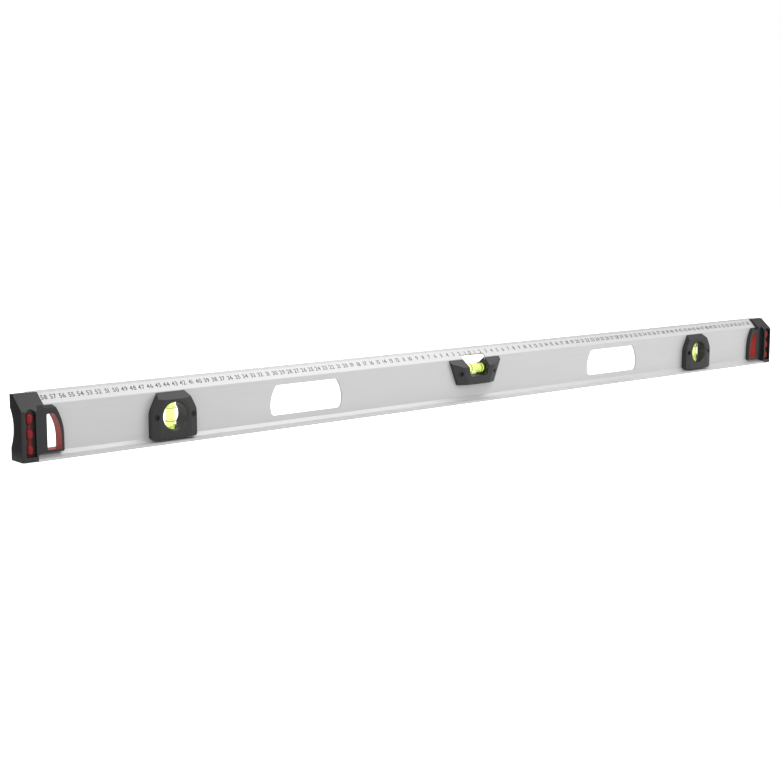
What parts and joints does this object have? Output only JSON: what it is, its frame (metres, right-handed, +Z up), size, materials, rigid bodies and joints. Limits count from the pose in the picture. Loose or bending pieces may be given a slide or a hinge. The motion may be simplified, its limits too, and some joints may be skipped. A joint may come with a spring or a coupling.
{
  "type": "magnetic i-beam level",
  "caption": "Aluminium I-beam spirit level with a bevelled scale face, hand holes, plumb and horizontal vials in dark housings, base magnets and end caps with rubber bumpers",
  "frame": {"origin": "middle of the base face, half way along the level", "axes": "+X along the beam to the right seen from the front, -Y towards the front with the bevelled scale face, +Z up"},
  "size_m": [1.227, 0.025, 0.0665],
  "materials": {
    "extrusion": "satin",
    "housing_plastic": "fine matte",
    "bumper_rubber": "satin",
    "liner_rubber": "satin",
    "vial_clear": "clear acrylic",
    "vial_fluid": "clear tinted liquid",
    "vial_plug": "clear acrylic",
    "screw": "black oxide",
    "magnet": "plated, ground flat"
  },
  "bodies": {
    "root": {"beam": "extrusion", "end_cap_left": "housing_plastic", "end_cap_right": "housing_plastic", "bumper_strip_left_front": "bumper_rubber", "bumper_strip_left_back": "bumper_rubber", "bumper_strip_right_front": "bumper_rubber", "bumper_strip_right_back": "bumper_rubber", "hang_liner_left": "liner_rubber", "hang_liner_right": "liner_rubber", "plumb_housing_left_front": "housing_plastic", "plumb_housing_left_back": "housing_plastic", "plumb_housing_right_front": "housing_plastic", "plumb_housing_right_back": "housing_plastic", "centre_housing_front": "housing_plastic", "centre_housing_back": "housing_plastic", "plumb_vial_left": "vial_clear", "plumb_vial_right": "vial_clear", "centre_vial": "vial_clear", "plumb_fluid_left": "vial_fluid", "plumb_fluid_right": "vial_fluid", "centre_fluid": "vial_fluid", "plumb_plug_left": "vial_plug", "plumb_plug_right": "vial_plug", "centre_plug": "vial_plug", "plumb_screws_left": "screw", "plumb_screws_right": "screw", "centre_screws": "screw", "magnet_far_left": "magnet", "magnet_left": "magnet", "magnet_right": "magnet", "magnet_far_right": "magnet"}
  },
  "joints": []
}
